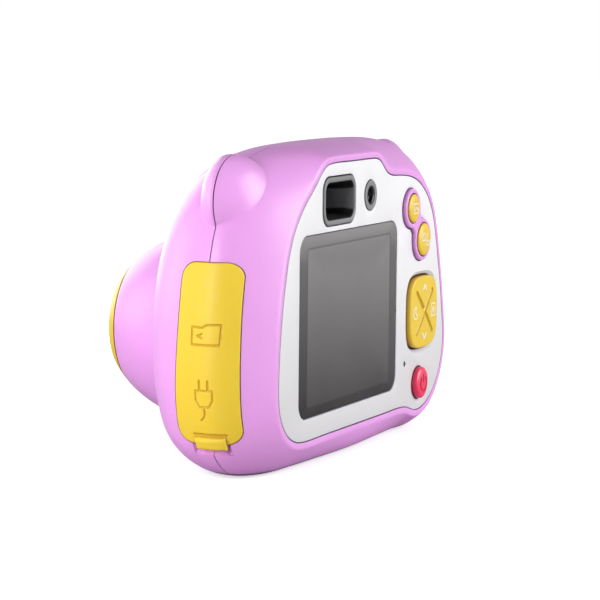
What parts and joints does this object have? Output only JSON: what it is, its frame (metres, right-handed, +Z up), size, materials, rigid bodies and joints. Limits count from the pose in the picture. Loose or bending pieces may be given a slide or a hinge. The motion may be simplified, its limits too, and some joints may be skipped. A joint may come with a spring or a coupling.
{
  "type": "kids digital camera",
  "caption": "Children's digital camera with ear lumps, domed snout lens barrel, rear screen, navigation pad, push buttons, tunnel viewfinder and a hinged side cover over card and charge ports.",
  "frame": {"origin": "a point on the flat underside of the front case half, on the left-right centre line of the case", "axes": "+Z up; -Y is the way the lens looks; +Y is the side with the screen and buttons; +X is the side with the port cover"},
  "size_m": [0.1034, 0.0552, 0.0627],
  "materials": {
    "case_pink": "satin moulded ABS",
    "yellow_plastic": "satin moulded ABS",
    "yellow_rubber": "satin soft elastomer",
    "white_plastic": "satin moulded ABS",
    "red_plastic": "satin moulded ABS",
    "grey_plastic": "fine satin",
    "black_plastic": "matte",
    "screen_cover": "glossy tinted acrylic",
    "clear_window": "clear polished",
    "lens_glass": "coated polished",
    "lcd_panel": "dark display glass",
    "steel_sheet": "plated sheet",
    "circuit_board": "green solder mask",
    "polyimide_flex": "amber film",
    "silicone": "translucent silicone",
    "light_pipe": "diffuse clear",
    "battery_foil": "foil pouch",
    "cable_red": "insulated wire pair"
  },
  "bodies": {
    "camera_body": {"battery": "battery_foil", "battery_cable": "cable_red", "button_bezel": "case_pink", "card_slot": "steel_sheet", "case_screw_1": "steel_sheet", "case_screw_2": "steel_sheet", "case_screw_3": "steel_sheet", "case_screw_4": "steel_sheet", "flash_led": "light_pipe", "flash_window": "clear_window", "front_shell": "case_pink", "image_sensor": "black_plastic", "key_board": "circuit_board", "lcd_flex": "polyimide_flex", "lcd_frame": "steel_sheet", "lcd_module": "lcd_panel", "lens_barrel": "case_pink", "lens_element": "lens_glass", "lens_housing": "black_plastic", "lens_trim_ring": "yellow_plastic", "lens_window": "clear_window", "main_board": "circuit_board", "menu_switch": "black_plastic", "microphone": "steel_sheet", "mode_switch": "black_plastic", "nav_switch_down": "black_plastic", "nav_switch_left": "black_plastic", "nav_switch_right": "black_plastic", "nav_switch_up": "black_plastic", "port_bracket": "case_pink", "power_switch": "black_plastic", "processor": "black_plastic", "rear_panel": "white_plastic", "rear_shell": "case_pink", "screen_glass": "screen_cover", "selfie_camera": "black_plastic", "selfie_lens_ring": "grey_plastic", "selfie_lens_window": "clear_window", "sensor_board": "circuit_board", "sensor_flex": "polyimide_flex", "shutter_board": "circuit_board", "shutter_switch": "black_plastic", "speaker": "black_plastic", "status_led": "light_pipe", "status_light_pipe": "light_pipe", "usb_connector": "steel_sheet", "viewfinder_eyepiece": "clear_window", "viewfinder_frame": "grey_plastic", "viewfinder_tube": "black_plastic", "viewfinder_window": "clear_window"},
    "menu_button": {"menu_button": "yellow_plastic"},
    "mode_button": {"mode_button": "yellow_plastic"},
    "power_button": {"power_button": "red_plastic"},
    "shutter_button": {"shutter_button": "yellow_plastic"},
    "nav_pivot": {"nav_pivot": "silicone"},
    "nav_pad": {"nav_pad": "yellow_plastic"},
    "port_cover": {"port_cover": "yellow_rubber"},
    "memory_card": {"memory_card": "black_plastic"}
  },
  "joints": [
    {"name": "menu_button_press", "type": "slide", "parent": "camera_body", "child": "menu_button", "axis": [0, -1, 0], "range_m": [0, 0.0007], "stiffness_N_per_m": 60},
    {"name": "mode_button_press", "type": "slide", "parent": "camera_body", "child": "mode_button", "axis": [0, -1, 0], "range_m": [0, 0.0007], "stiffness_N_per_m": 60},
    {"name": "power_button_press", "type": "slide", "parent": "camera_body", "child": "power_button", "axis": [0, -1, 0], "range_m": [0, 0.0007], "stiffness_N_per_m": 60},
    {"name": "shutter_press", "type": "slide", "parent": "camera_body", "child": "shutter_button", "axis": [0, 0.6428, -0.766], "range_m": [0, 0.001], "stiffness_N_per_m": 80},
    {"name": "nav_tilt_left_right", "type": "hinge", "parent": "camera_body", "child": "nav_pivot", "pos_m": [-0.0303, 0.01045, 0.0252], "axis": [0, 0, 1], "range_deg": [-3.5, 3.5], "stiffness_Nm_per_rad": 0.01},
    {"name": "nav_tilt_up_down", "type": "hinge", "parent": "nav_pivot", "child": "nav_pad", "pos_m": [-0.0303, 0.01045, 0.0252], "axis": [1, 0, 0], "range_deg": [-3.5, 3.5], "stiffness_Nm_per_rad": 0.01},
    {"name": "port_cover_hinge", "type": "hinge", "parent": "camera_body", "child": "port_cover", "pos_m": [0.0496, 0.003, 0.0423], "axis": [0, -1, 0], "range_deg": [0, 105], "stiffness_Nm_per_rad": 0.002},
    {"name": "memory_card_push", "type": "slide", "parent": "camera_body", "child": "memory_card", "axis": [1, 0, 0], "range_m": [-0.0006, 0.002]}
  ]
}
